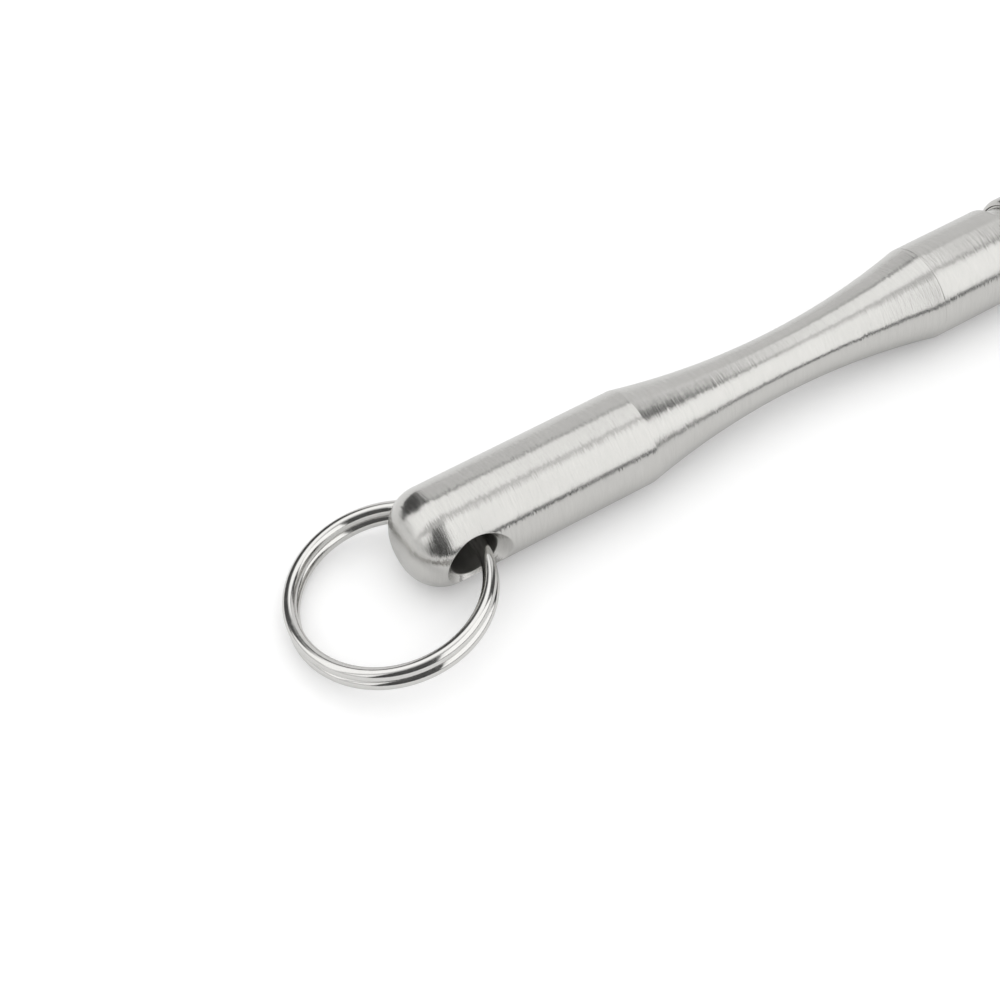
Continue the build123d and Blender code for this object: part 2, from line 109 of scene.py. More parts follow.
def broken(corners, closed=True, edge=EDGE):
    """An outline whose corners are broken by a small radius, or by as much of it as a short side has room
    for, with a point beside each to hold the light."""
    points = [Vector(corner) for corner in corners]
    count = len(points)
    made = []
    for i, corner in enumerate(points):
        if not closed and i in (0, count - 1):
            made.append(tuple(corner))
            continue
        back, ahead = points[i - 1] - corner, points[(i + 1) % count] - corner
        half = back.angle(ahead) / 2
        if half > NEARLY_FLAT:
            made.append(tuple(corner))
            continue
        room = EDGE_SHARE * min(back.length, ahead.length)
        cut = min(edge / tan(half), room)
        radius = cut * tan(half)
        back.normalize()
        ahead.normalize()
        middle = corner + (back + ahead).normalized() * radius / sin(half)
        first, last = corner + back * cut - middle, corner + ahead * cut - middle
        if cut < room / 2:
            made.append(tuple(corner + back * 2 * cut))
        for step in range(EDGE_STEPS + 1):
            share = step / EDGE_STEPS
            made.append(tuple(middle + first.lerp(last, share).normalized() * radius))
        if cut < room / 2:
            made.append(tuple(corner + ahead * 2 * cut))
    return made


# ==== meshes ====
def placed(name, data):
    """An object at the origin for a mesh, a curve or a camera."""
    made = bpy.data.objects.new(name, data)
    bpy.context.scene.collection.objects.link(made)
    return made


def face_outwards(mesh):
    work = bmesh.new()
    work.from_mesh(mesh)
    bmesh.ops.recalc_face_normals(work, faces=work.faces)
    work.to_mesh(mesh)
    work.free()


class Skin:
    """The points, faces and UVs of one mesh while it is made, all in millimetres."""

    def __init__(self):
        self.points = []
        self.faces = []
        self.uvs = []

    def ring(self, points):
        first = len(self.points)
        self.points += points
        return list(range(first, first + len(points)))

    def face(self, corners, uvs):
        self.faces.append(corners)
        self.uvs += uvs

    def made(self, name, finish):
        mesh = bpy.data.meshes.new(name)
        mesh.from_pydata([Vector(p) * MM for p in self.points], [], self.faces)
        uv_map = mesh.uv_layers.new(name="turning")
        uv_map.data.foreach_set("uv", [value * MM for uv in self.uvs for value in uv])
        mesh.shade_smooth()
        face_outwards(mesh)
        mesh.materials.append(finish)
        return placed(name, mesh)


class Thread:
    """A right-hand vee thread cut below a radius. Its two halves stay in mesh as one turns on the other."""

    TOUCH = 0.01              # points of an outline this near to the thread's radius are cut
    FLANK = 1.25              # rise of a flank, steep enough to leave a flat at the root
    CREST_FLAT = 0.1

    def __init__(self, radius, start, end, pitch, depth):
        self.radius, self.start, self.end, self.pitch, self.depth = radius, start, end, pitch, depth

    def cut(self, x, r, theta):
        if abs(r - self.radius) > self.TOUCH or not self.start < x < self.end:
            return 0.0
        phase = (x / self.pitch - theta / (2 * pi)) % 1
        flank = min(phase, 1 - phase) * 2
        runout = min(x - self.start, self.end - x) / self.pitch
        return self.depth * min(max(self.FLANK * flank - self.CREST_FLAT, 0), 1) * min(runout, 1)


def spin(skin, outline, threads):
    """A ring of points, or a pole, for each point of an outline, and the outline's length up to each."""
    rings, lengths = [], [0.0]
    for i, (x, r) in enumerate(outline):
        if i:
            lengths.append(lengths[-1] + hypot(x - outline[i - 1][0], r - outline[i - 1][1]))
        if r < TINY:
            rings.append(skin.ring([(x, 0.0, 0.0)]))
            continue
        radii = [r - sum(thread.cut(x, r, t) for thread in threads) for t in TURNS]
        rings.append(skin.ring([(x, q * cos(t), q * sin(t)) for q, t in zip(radii, TURNS)]))
    return rings, lengths


def lathe_strip(skin, ring_a, ring_b, from_v, to_v, columns):
    """Faces between two rings. A ring of one point is a pole."""
    for j in columns:
        k = (j + 1) % AROUND
        u, w = j * BODY_R * 2 * pi / AROUND, (j + 1) * BODY_R * 2 * pi / AROUND
        if len(ring_a) == 1:
            skin.face((ring_a[0], ring_b[j], ring_b[k]), ((u, from_v), (u, to_v), (w, to_v)))
        elif len(ring_b) == 1:
            skin.face((ring_a[j], ring_b[0], ring_a[k]), ((u, from_v), (u, to_v), (w, from_v)))
        else:
            corners = (ring_a[j], ring_b[j], ring_b[k], ring_a[k])
            skin.face(corners, ((u, from_v), (u, to_v), (w, to_v), (w, from_v)))


def turned(name, outline, finish, threads=(), closed=True):
    """A solid of revolution about X. Its outline is closed, or else starts and ends on the axis."""
    skin = Skin()
    rings, lengths = spin(skin, outline, threads)
    pairs = list(zip(range(len(rings) - 1), range(1, len(rings))))
    if closed:
        pairs.append((len(rings) - 1, 0))
        lengths.append(lengths[-1] + hypot(outline[-1][0] - outline[0][0], outline[-1][1] - outline[0][1]))
    for a, b in pairs:
        lathe_strip(skin, rings[a], rings[b], lengths[a], lengths[a + 1], range(AROUND))
    return skin.made(name, finish)


# ==== materials ====
def colour(hex_text):
    """Linear colour of an sRGB hex value."""
    values = [int(hex_text[i:i + 2], 16) / 255 for i in (1, 3, 5)]
    return [v / 12.92 if v <= 0.04045 else ((v + 0.055) / 1.055) ** 2.4 for v in values] + [1]


def add(tree, kind, inputs=None, **settings):
    """Adds a node with its settings and links."""
    made = tree.nodes.new(kind)
    for key, value in settings.items():
        setattr(made, key, value)
    for key, value in (inputs or {}).items():
        if isinstance(value, bpy.types.NodeSocket):
            tree.links.new(value, made.inputs[key])
        else:
            made.inputs[key].default_value = value
    return made


def new_finish(name):
    """An empty material, its tree and its shader, joined to the output."""
    made = bpy.data.materials.new(name)
    made.use_nodes = True
    tree = made.node_tree
    tree.nodes.clear()
    shader = add(tree, "ShaderNodeBsdfPrincipled")
    add(tree, "ShaderNodeOutputMaterial", {"Surface": shader.outputs["BSDF"]})
    return made, tree, shader


STEEL = "#C8C7C4"
STEEL_ROUGHNESS = 0.20
PAINTED_BORE_SHADE = "#8E8D8A"        # painted shade: the bore is coloured darker than the polished outside, for the shade that falls inside the hole
BORE_ROUGHNESS = 0.45
LINE_MM = 0.16                # from one tool line to the next
LINE_DEPTH_MM = 0.017
LINE_SETS = ((1, 16), (3, 7), (0.6, 20))   # middle, coarse, fine: (spacing in LINE_MM, length in spacings)
COARSE_WEIGHT = 1.7           # depth of the coarse lines against the middle ones
LINE_LEAN = 0.06              # most that a line's surface leans round the axis, as a slope


def turned_steel(name, bored=False):
    """Turned 303 stainless: fine tool lines round the axis drag each highlight out along it."""
    made, tree, shader = new_finish(name)
    uv = add(tree, "ShaderNodeUVMap", uv_map="turning")
    along = add(tree, "ShaderNodeSeparateXYZ", {"Vector": uv.outputs["UV"]}).outputs["Y"]
    place = add(tree, "ShaderNodeTexCoord").outputs["Object"]
    across = add(tree, "ShaderNodeSeparateXYZ", {"Vector": place})
    at = add(tree, "ShaderNodeCombineXYZ", {"X": along, "Y": across.outputs["Y"], "Z": across.outputs["Z"]})
    lines = []
    for apart, longer in LINE_SETS:
        spacing = apart * LINE_MM * MM
        length = spacing * longer
        stretched = add(tree, "ShaderNodeVectorMath",
                        {0: at.outputs[0], 1: (1 / spacing, 1 / length, 1 / length)}, operation="MULTIPLY")
        noise = add(tree, "ShaderNodeTexNoise",
                    {"Vector": stretched.outputs[0], "Scale": 1.0, "Detail": 2.0, "Roughness": 0.6})
        lines.append(noise.outputs["Fac"])
    middle_lines, coarse_lines, fine_lines = lines
    height = add(tree, "ShaderNodeMath", {0: coarse_lines, 1: COARSE_WEIGHT, 2: middle_lines},
                 operation="MULTIPLY_ADD")
    bump = add(tree, "ShaderNodeBump",
               {"Height": height.outputs[0], "Strength": 1.0, "Distance": LINE_DEPTH_MM * MM})

    # each line also leans a little round the axis, which frays the long edges of what it reflects
    tangent = add(tree, "ShaderNodeTangent", direction_type="UV_MAP", uv_map="turning")
    lean = add(tree, "ShaderNodeMapRange",
               {"Value": fine_lines, "From Min": 0.25, "From Max": 0.75,
                "To Min": -LINE_LEAN, "To Max": LINE_LEAN})
    leant = add(tree, "ShaderNodeVectorMath", {0: tangent.outputs[0], "Scale": lean.outputs[0]},
                operation="SCALE")
    tilted = add(tree, "ShaderNodeVectorMath", {0: bump.outputs["Normal"], 1: leant.outputs[0]},
                 operation="ADD")
    normal = add(tree, "ShaderNodeVectorMath", {0: tilted.outputs[0]}, operation="NORMALIZE")

    # gloss drifts in clouds a few millimetres wide, and both gloss and tone from line to line
    cloud = add(tree, "ShaderNodeTexNoise", {"Vector": place, "Scale": 220.0, "Detail": 3.0})
    drift = add(tree, "ShaderNodeMath", {0: cloud.outputs["Fac"], 1: 0.6, 2: middle_lines},
                operation="MULTIPLY_ADD")
    rough = add(tree, "ShaderNodeMapRange",
                {"Value": drift.outputs[0], "From Min": 0.5, "From Max": 1.1,
                 "To Min": STEEL_ROUGHNESS - 0.05, "To Max": STEEL_ROUGHNESS + 0.07}).outputs[0]
    tone = add(tree, "ShaderNodeMapRange",
               {"Value": middle_lines, "From Min": 0.3, "From Max": 0.7, "To Min": 0.94, "To Max": 1.04})
    tint = add(tree, "ShaderNodeVectorMath", {0: colour(STEEL)[:3], 1: tone.outputs[0]},
               operation="MULTIPLY").outputs[0]
    # inside the cross hole the colour darkens as painted shade, and the finish there is also rougher
    if bored:
        off = add(tree, "ShaderNodeVectorMath", {0: place, 1: (HOLE_X * MM, 0, 0)}, operation="SUBTRACT")
        flat = add(tree, "ShaderNodeVectorMath", {0: off.outputs[0], 1: (1, 0, 1)}, operation="MULTIPLY")
        reach = add(tree, "ShaderNodeVectorMath", {0: flat.outputs[0]}, operation="LENGTH")
        inside = add(tree, "ShaderNodeMapRange",
                     {"Value": reach.outputs["Value"], "From Min": (HOLE_R + 0.1) * MM,
                      "From Max": (HOLE_R + 0.02) * MM}).outputs[0]
        tint = add(tree, "ShaderNodeMix", {"Factor": inside, 6: tint, 7: colour(PAINTED_BORE_SHADE)},
                   data_type="RGBA").outputs[2]
        rough = add(tree, "ShaderNodeMix", {"Factor": inside, 2: rough, 3: BORE_ROUGHNESS}).outputs[0]
    links = {"Base Color": tint, "Roughness": rough, "Normal": normal.outputs[0],
             "Tangent": tangent.outputs[0]}
    for socket, source in links.items():
        tree.links.new(source, shader.inputs[socket])
    shader.inputs["Metallic"].default_value = 1.0
    shader.inputs["Anisotropic"].default_value = 0.85
    shader.inputs["Anisotropic Rotation"].default_value = 0.25
    return made


GLOSS_DRIFT = 0.06            # how far a plain finish's roughness drifts to either side
LEAST_ROUGHNESS = 0.02


def plain_finish(name, low, high, grain_mm, roughness, metallic=0.0, bump_mm=0.0, settings=None):
    """A finish whose colour and gloss drift between two near tones over a grain of real size."""
    made, tree, shader = new_finish(name)
    place = add(tree, "ShaderNodeTexCoord").outputs["Object"]
    grain = add(tree, "ShaderNodeTexNoise",
                {"Vector": place, "Scale": 1 / (grain_mm * MM), "Detail": 4.0, "Roughness": 0.6})
    tint = add(tree, "ShaderNodeMix",
               {"Factor": grain.outputs["Fac"], 6: colour(low), 7: colour(high)}, data_type="RGBA")
    rough = add(tree, "ShaderNodeMapRange",
                {"Value": grain.outputs["Fac"], "From Min": 0.3, "From Max": 0.7,
                 "To Min": max(roughness - GLOSS_DRIFT, LEAST_ROUGHNESS), "To Max": roughness + GLOSS_DRIFT})
    tree.links.new(tint.outputs[2], shader.inputs["Base Color"])
    tree.links.new(rough.outputs[0], shader.inputs["Roughness"])
    if bump_mm:
        bump = add(tree, "ShaderNodeBump",
                   {"Height": grain.outputs["Fac"], "Strength": 1.0, "Distance": bump_mm * MM})
        tree.links.new(bump.outputs["Normal"], shader.inputs["Normal"])
    shader.inputs["Metallic"].default_value = metallic
    for socket, value in (settings or {}).items():
        shader.inputs[socket].default_value = value
    return made


# ==== handle: domed tail, grip and waist, with the cross hole for the ring ====
TAIL_LEN = 36.6               # tail tip to the rear ridge
TAIL_ROUND = 5.45
REAR_RIDGE = TAIL + TAIL_LEN
RIDGE_EDGE = 0.8              # softens the rear ridge, as far as there is room
WAIST_DEPTH = 2.6
SEAM_BEVEL = 0.035            # broken edges on both sides of the seam at the front ridge
HOLE_FROM_TAIL = 8.1
HOLE_X = TAIL + HOLE_FROM_TAIL
HOLE_R = 3.6
SINK_WIDTH = 1.5
SINK_DEPTH = 1.7
SINK_FLOOR = BODY_R - SINK_DEPTH
SLIP = 0.02                   # each side, pieces screwed into one another
LEAD_IN = 0.1                 # plain length beside a run of rings, before the next corner
SOCKET_R = 6.0
SPIGOT_R = SOCKET_R - SLIP
SPIGOT_CHAMFER = 0.5
SPIGOT_GLAND_R = 5.2
SPIGOT_GLAND_WIDTH = 1.4
SPIGOT_LAND = 0.2             # plain spigot between its gland and its thread
SPIGOT_PITCH = 0.75
SPIGOT_THREAD_DEPTH = 0.35
SPIGOT_THREAD_REAR = FRONT_RIDGE + SPIGOT_GLAND_WIDTH + SPIGOT_LAND
SPIGOT_THREAD_FRONT = SPIGOT_FRONT - SPIGOT_CHAMFER
SPIGOT_THREAD_STEPS = 84
SPIGOT_THREAD = Thread(SPIGOT_R, SPIGOT_THREAD_REAR, SPIGOT_THREAD_FRONT, SPIGOT_PITCH, SPIGOT_THREAD_DEPTH)
WINDOW = (TAIL + 1.6, HOLE_X + 6.5)   # stretch of the skin that is woven round each mouth
WINDOW_HALF_TURN = radians(50)
SKIN_STEPS = 9                # rings of skin from a window's border to the rim
SKIN_EASE = 0.8               # under 1, they lie closer together towards the rim
CONE_SHARES = (0.03, 0.25, 0.5, 0.75, 0.97, 1.0)         # rings of the countersink, from rim to bore
BORE_SHARES = (0.99, 0.9, 0.75, 0.6, 0.45, 0.3, 0.15)    # rings of the bore, from a mouth to the middle


def waist_points():
    """Shallow arc between the ridges, as (place, radius)."""
    end = FRONT_RIDGE - SEAM_BEVEL
    half = (end - REAR_RIDGE) / 2
    radius = (half**2 + WAIST_DEPTH**2) / (2 * WAIST_DEPTH)
    swing = degrees(acos((radius - WAIST_DEPTH) / radius))
    return arc((REAR_RIDGE + half, BODY_R - WAIST_DEPTH + radius), radius, -90 - swing, -90 + swing, 90)


def handle_outline():
    tip_r = BODY_R - TAIL_ROUND
    dome = arc((TAIL + TAIL_ROUND, tip_r), TAIL_ROUND, 180, 90, 44)
    waist = waist_points()
    gland_front = FRONT_RIDGE + SPIGOT_GLAND_WIDTH
    grip = straight(dome[-1], (WINDOW[1], BODY_R), 40)
    rear = straight((WINDOW[1], BODY_R), (REAR_RIDGE - LEAD_IN, BODY_R), 20)
    spigot = [
        (FRONT_RIDGE - SEAM_BEVEL, BODY_R),
        (FRONT_RIDGE, BODY_R - SEAM_BEVEL),
        (FRONT_RIDGE, SPIGOT_GLAND_R),
        (gland_front, SPIGOT_GLAND_R),
        (gland_front, SPIGOT_R),
    ]
    thread = straight((gland_front + LEAD_IN, SPIGOT_R), (SPIGOT_THREAD_FRONT - LEAD_IN, SPIGOT_R),
                      SPIGOT_THREAD_STEPS)
    nose = [(SPIGOT_THREAD_FRONT, SPIGOT_R), (SPIGOT_FRONT, SPIGOT_R - SPIGOT_CHAMFER), (SPIGOT_FRONT, 0)]
    ridge = broken([rear[-1], waist[0], waist[2]], closed=False, edge=RIDGE_EDGE)
    shoulder = broken([waist[-2]] + spigot + [thread[0]], closed=False)
    return (
        [(TAIL, 0)] + dome[:-1] + grip[:-1] + rear[:-1] + ridge[:-1] + waist[2:-2]
        + shoulder[:-1] + thread + nose
    )


def skin_radius(x):
    """Radius of the handle's outside beside the hole."""
    middle = TAIL + TAIL_ROUND
    if x >= middle:
        return BODY_R
    return BODY_R - TAIL_ROUND + sqrt(max(TAIL_ROUND**2 - (middle - x) ** 2, 0))


def past_rim(x, theta):
    """How far a point of the skin lies outside the countersink's cone."""
    r = skin_radius(x)
    cone_r = HOLE_R + (abs(r * cos(theta)) - SINK_FLOOR) * SINK_WIDTH / SINK_DEPTH
    return hypot(x - HOLE_X, r * sin(theta)) - cone_r


def rim_share(x, theta):
    """Share of the way from the hole's middle to a point of the skin at which the rim lies."""
    low, high = 0.0, 1.0
    for _ in range(40):
        share = (low + high) / 2
        if past_rim(HOLE_X + (x - HOLE_X) * share, theta * share) < 0:
            low = share
        else:
            high = share
    return high


def weave_mouth(skin, border, angles, side):
    """Rings of skin from the border to the rim of one mouth, rings of countersink from there to the bore,
    and the turn of each column of them about the hole. side is 1 at +Y and -1 at -Y."""
    places = [(skin.points[v][0], theta) for v, theta in zip(border, angles)]
    shares = [rim_share(x, theta) for x, theta in places]
    rings = [border]
    for step in range(1, SKIN_STEPS + 2):
        ease = min(step / SKIN_STEPS, 1) ** SKIN_EASE
        ring = []
        for (x, theta), share in zip(places, shares):
            at = 1 - (1 - share) * ease
            if step == SKIN_STEPS:
                at += EDGE / hypot(x - HOLE_X, BODY_R * theta)
            px, pt = HOLE_X + (x - HOLE_X) * at, theta * at
            r = skin_radius(px)
            ring.append((px, side * r * cos(pt), r * sin(pt)))
        rings.append(skin.ring(ring))
    rim = [Vector(skin.points[v]) for v in rings[-1]]
    turns = [atan2(p.z, p.x - HOLE_X) for p in rim]
    floor = [Vector((HOLE_X + HOLE_R * cos(t), side * SINK_FLOOR, HOLE_R * sin(t))) for t in turns]
    cone_rings = [rings[-1]]
    for share in CONE_SHARES:
        cone_rings.append(skin.ring([tuple(a.lerp(b, share)) for a, b in zip(rim, floor)]))
    return rings, cone_rings, turns


def weave(skin, rings, uv_at):
    """Faces between rings of equal count. uv_at gives the UV of a point in one column of them."""
    for a, b in zip(rings, rings[1:]):
        count = len(a)
        for j in range(count):
            k = (j + 1) % count
            corners = (a[j], b[j], b[k], a[k])
            uvs = (uv_at(a[j], j), uv_at(b[j], j), uv_at(b[k], j + 1), uv_at(a[k], j + 1))
            skin.face(corners, uvs)


def skin_uv(skin, first_turn):
    """UVs of the handle's outside round one mouth. Turns count up from first_turn, across from it."""
    middle, tip_r = TAIL + TAIL_ROUND, BODY_R - TAIL_ROUND

    def uv_at(v, _):
        x, y, z = skin.points[v]
        theta = (atan2(z, y) - first_turn) % (2 * pi) + first_turn
        dome_len = tip_r + TAIL_ROUND * acos(min(max((middle - x) / TAIL_ROUND, 0), 1))
        return (theta * BODY_R, dome_len if x < middle else tip_r + TAIL_ROUND * pi / 2 + x - middle)

    return uv_at


def hole_uv(skin, turns):
    """UVs about the hole's own axis, because its tool turned round that."""
    unrolled = [turns[0]]
    for t in turns[1:] + turns[:1]:
        step = (t - unrolled[-1] + pi) % (2 * pi) - pi
        unrolled.append(unrolled[-1] + step)
    return lambda v, j: (unrolled[j] * HOLE_R, skin.points[v][1])


def handle_piece(finish):
    """One closed skin: turned, but for a window round each mouth of the cross hole, which is woven."""
    skin = Skin()
    outline = handle_outline()
    rings, lengths = spin(skin, outline, (SPIGOT_THREAD,))
    inside = [i for i, (x, _) in enumerate(outline) if WINDOW[0] <= x <= WINDOW[1] + TINY]
    first, last = inside[0], inside[-1]
    reach = round(WINDOW_HALF_TURN / (2 * pi) * AROUND)
    opened = {(middle + j) % AROUND for middle in (0, AROUND // 2) for j in range(-reach, reach)}
    for i in range(len(rings) - 1):
        columns = [j for j in range(AROUND) if not (first <= i < last and j in opened)]
        lathe_strip(skin, rings[i], rings[i + 1], lengths[i], lengths[i + 1], columns)

    # border of each window as (ring, column), in the same order at both mouths
    steps = [(first, j) for j in range(-reach, reach)]
    steps += [(i, reach) for i in range(first, last)]
    steps += [(last, j) for j in range(reach, -reach, -1)]
    steps += [(i, -reach) for i in range(last, first, -1)]
    angles = [2 * pi * j / AROUND for _, j in steps]
    mouth_edges = []
    for side, middle, first_turn in ((1, 0, -pi), (-1, AROUND // 2, 0)):
        border = [rings[i][(middle + side * j) % AROUND] for i, j in steps]
        skin_rings, cone_rings, turns = weave_mouth(skin, border, angles, side)
        weave(skin, skin_rings, skin_uv(skin, first_turn))
        weave(skin, cone_rings, hole_uv(skin, turns))
        mouth_edges.append(cone_rings[-1])
    # the columns stand at the same turns about the hole at both mouths, so the bore joins them straight
    bore_rings = [mouth_edges[0]]
    for share in (*BORE_SHARES, 0, *(-share for share in reversed(BORE_SHARES))):
        y = SINK_FLOOR * share
        bore_rings.append(skin.ring([(HOLE_X + HOLE_R * cos(t), y, HOLE_R * sin(t)) for t in turns]))
    bore_rings.append(mouth_edges[1])
    weave(skin, bore_rings, hole_uv(skin, turns))
    return skin.made("turned_handle", finish)


# ==== battery barrel ====
NECK_R = 6.3
NECK_GLAND_R = 5.75
NECK_GLAND_WIDTH = 1.2
NECK_LAND = 0.6               # each side of the seal's gland
NECK_THREAD_LEN = 8.0
NECK_RELIEF_R = 6.05
NECK_RELIEF_LEN = 2.6
NOSE_R = 6.0
NOSE_LEN = 3.75
CELL_BORE_R = 5.25
SOCKET_SPARE = 0.8            # socket beyond the end of the spigot
SOCKET_FLOOR = SPIGOT_FRONT + SOCKET_SPARE
SOCKET_START_R = CELL_BORE_R + 0.3   # on the socket's floor, where the barrel's outline starts and ends
NOSE_REAR = NECK_FRONT - NOSE_LEN
THREAD_REAR = NOSE_REAR - NECK_THREAD_LEN
GLAND_FRONT = THREAD_REAR - NECK_LAND
GLAND_REAR = GLAND_FRONT - NECK_GLAND_WIDTH
RELIEF_FRONT = GLAND_REAR - NECK_LAND
BARREL_FRONT = RELIEF_FRONT - NECK_RELIEF_LEN
BARREL_CHAMFER = 0.8
NECK_PITCH = 1.0
NECK_THREAD_DEPTH = 0.45
NECK_THREAD_STEPS = 112
NECK_THREAD = Thread(NECK_R, THREAD_REAR, NOSE_REAR, NECK_PITCH, NECK_THREAD_DEPTH)
SOCKET_THREAD = Thread(SOCKET_R, SPIGOT_THREAD_REAR, SPIGOT_THREAD_FRONT, SPIGOT_PITCH, SPIGOT_THREAD_DEPTH)


def barrel_piece(finish):
    back = broken([
        (SOCKET_FLOOR, SOCKET_START_R),
        (SOCKET_FLOOR, SOCKET_R),
        (SPIGOT_THREAD_FRONT + LEAD_IN, SOCKET_R),
    ], closed=False)
    socket = straight((SPIGOT_THREAD_FRONT, SOCKET_R), (SPIGOT_THREAD_REAR, SOCKET_R), SPIGOT_THREAD_STEPS)
    outside = broken([
        socket[-1],
        (FRONT_RIDGE, SOCKET_R),
        (FRONT_RIDGE, BODY_R - SEAM_BEVEL),
        (FRONT_RIDGE + SEAM_BEVEL, BODY_R),
        (BARREL_FRONT - BARREL_CHAMFER, BODY_R),
        (BARREL_FRONT, BODY_R - BARREL_CHAMFER),
        (BARREL_FRONT, NECK_RELIEF_R),
        (RELIEF_FRONT, NECK_RELIEF_R),
        (RELIEF_FRONT, NECK_R),
        (GLAND_REAR, NECK_R),
        (GLAND_REAR, NECK_GLAND_R),
        (GLAND_FRONT, NECK_GLAND_R),
        (GLAND_FRONT, NECK_R),
        (THREAD_REAR, NECK_R),
    ], closed=False)
    thread = straight((THREAD_REAR, NECK_R), (NOSE_REAR, NECK_R), NECK_THREAD_STEPS)
    front = broken([
        thread[-1],
        (NOSE_REAR, NOSE_R),
        (NECK_FRONT, NOSE_R),
        (NECK_FRONT, CELL_BORE_R),
        (SOCKET_FLOOR, CELL_BORE_R),
        back[0],
    ], closed=False)
    outline = back + socket + outside[1:] + thread[1:] + front[1:-1]
    return turned("turned_barrel", outline, finish, threads=(NECK_THREAD, SOCKET_THREAD))


# ==== head shell and bezel. The shell's front face lies at the frame's origin ====
NECK_GAP = 2.4                # bare neck between barrel and head with the light off
HEAD_TRAVEL = 1.0             # one turn of the head moves it this far back
HEAD_THREAD_SPARE = 0.5       # thread left in front of the neck's with the head screwed down
SHELL_REAR = BARREL_FRONT + NECK_GAP
SHELL_ROUND = 1.2             # rounded rear shoulder, cut off where it meets the skirt's bore
SKIRT_BORE_R = 6.4
SKIRT_LEN = 4.1
SKIRT_FRONT = SHELL_REAR + SKIRT_LEN
HEAD_BORE_R = 6.35
HEAD_BORE_FRONT = NOSE_REAR + HEAD_TRAVEL + HEAD_THREAD_SPARE
CHAMBER_R = 6.2
BOARD_BORE_R = 5.1
OPTIC_BORE_R = 6.1
BEZEL_THREAD_SPARE = 0.2      # thread in the shell beyond the bezel's
BEZEL_BORE_REAR = BEZEL_REAR - BEZEL_THREAD_SPARE
BEZEL_THREAD_R = 6.3
BEZEL_SPIGOT_R = BEZEL_THREAD_R - SLIP
BEZEL_BORE_R = 5.4
BEZEL_CHAMFER = 0.5
BEZEL_PITCH = 0.5
BEZEL_THREAD_DEPTH = 0.2
HEAD_THREAD = Thread(HEAD_BORE_R, SKIRT_FRONT, HEAD_BORE_FRONT, NECK_PITCH, NECK_THREAD_DEPTH)
SHELL_BEZEL_THREAD = Thread(BEZEL_THREAD_R, BEZEL_BORE_REAR, -LEAD_IN, BEZEL_PITCH, BEZEL_THREAD_DEPTH)
BEZEL_THREAD = Thread(BEZEL_SPIGOT_R, BEZEL_REAR, -LEAD_IN, BEZEL_PITCH, BEZEL_THREAD_DEPTH)


def shell_piece(finish):
    shoulder_r = HEAD_R - SHELL_ROUND
    round_start = degrees(acos((SKIRT_BORE_R - shoulder_r) / SHELL_ROUND)) + 90
    shoulder = arc((SHELL_REAR + SHELL_ROUND, shoulder_r), SHELL_ROUND, round_start, 90, 14)
    outside = broken([shoulder[-1], (0, HEAD_R), (0, BEZEL_THREAD_R), (-LEAD_IN, BEZEL_THREAD_R)],
                     closed=False)
    bezel = straight((-LEAD_IN, BEZEL_THREAD_R), (BEZEL_BORE_REAR, BEZEL_THREAD_R), 42)
    inner = broken([
        bezel[-1],
        (BEZEL_BORE_REAR, OPTIC_BORE_R),
        (BOARD_FRONT, OPTIC_BORE_R),
        (BOARD_FRONT, BOARD_BORE_R),
        (PILL_FRONT, BOARD_BORE_R),
        (PILL_FRONT, CHAMBER_R),
        (HEAD_BORE_FRONT, CHAMBER_R),
        (HEAD_BORE_FRONT, HEAD_BORE_R),
    ], closed=False)
    thread = straight((HEAD_BORE_FRONT, HEAD_BORE_R), (SKIRT_FRONT, HEAD_BORE_R), NECK_THREAD_STEPS)
    skirt = [(SKIRT_FRONT, SKIRT_BORE_R), (shoulder[0][0] + LEAD_IN, SKIRT_BORE_R)]
    outline = shoulder[:-1] + outside + bezel[1:] + inner[1:-1] + thread + skirt
    return turned("turned_head_shell", outline, finish, threads=(HEAD_THREAD, SHELL_BEZEL_THREAD))


def bezel_piece(finish):
    thread = straight((BEZEL_REAR, BEZEL_SPIGOT_R), (-LEAD_IN / 2, BEZEL_SPIGOT_R), 40)
    rest = broken([
        thread[-1],
        (0, BEZEL_SPIGOT_R),
        (0, BODY_R),
        (BEZEL_FRONT - BEZEL_CHAMFER, BODY_R),
        (BEZEL_FRONT, BODY_R - BEZEL_CHAMFER),
        (BEZEL_FRONT, BEZEL_BORE_R + BEZEL_CHAMFER),
        (BEZEL_FRONT - BEZEL_CHAMFER, BEZEL_BORE_R),
        (BEZEL_REAR, BEZEL_BORE_R),
        thread[0],
    ], closed=False)
    return turned("turned_bezel", thread + rest[1:-1], finish, threads=(BEZEL_THREAD,))


# ==== round pieces inside ====
CELL_R = 5.0
CELL_ROLL = 0.5               # rolled edges of the can
CAP_R = 2.0
CAP_BASE_R = 2.6
CAP_EDGE = 0.3
BOSS_R = 2.55                 # centres the contact spring
BOSS_HEIGHT = 0.5
LENS_CHAMFER = 0.2
REFLECTOR_RIM = 0.8
REFLECTOR_LIP = 0.7           # flat rim round the bowl's mouth
REFLECTOR_BACK_STEP = 0.1     # bowl's outside below its rim
REFLECTOR_THROAT_R = 1.7
REFLECTOR_WALL = 0.6
SPACER_BORE_R = 2.5
CONTACT_R = 1.8
CONTACT_FOOT_THICK = 0.3
INSULATOR_BORE_R = 2.22


def extent(node):
    """A node's two ends along the axis and its outside radius."""
    low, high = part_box(node)
    return low.x / MM, high.x / MM, high.y / MM


def tube(name, node, bore_r, finish, edge=EDGE):
    rear, front, r = extent(node)
    corners = [(rear, bore_r), (rear, r), (front, r), (front, bore_r)]
    return turned(name, broken(corners, edge=edge), finish)


def disc(name, corners, finish, edge=EDGE):
    """A solid turned piece whose outline starts and ends on the axis."""
    return turned(name, broken(corners, closed=False, edge=edge), finish, closed=False)


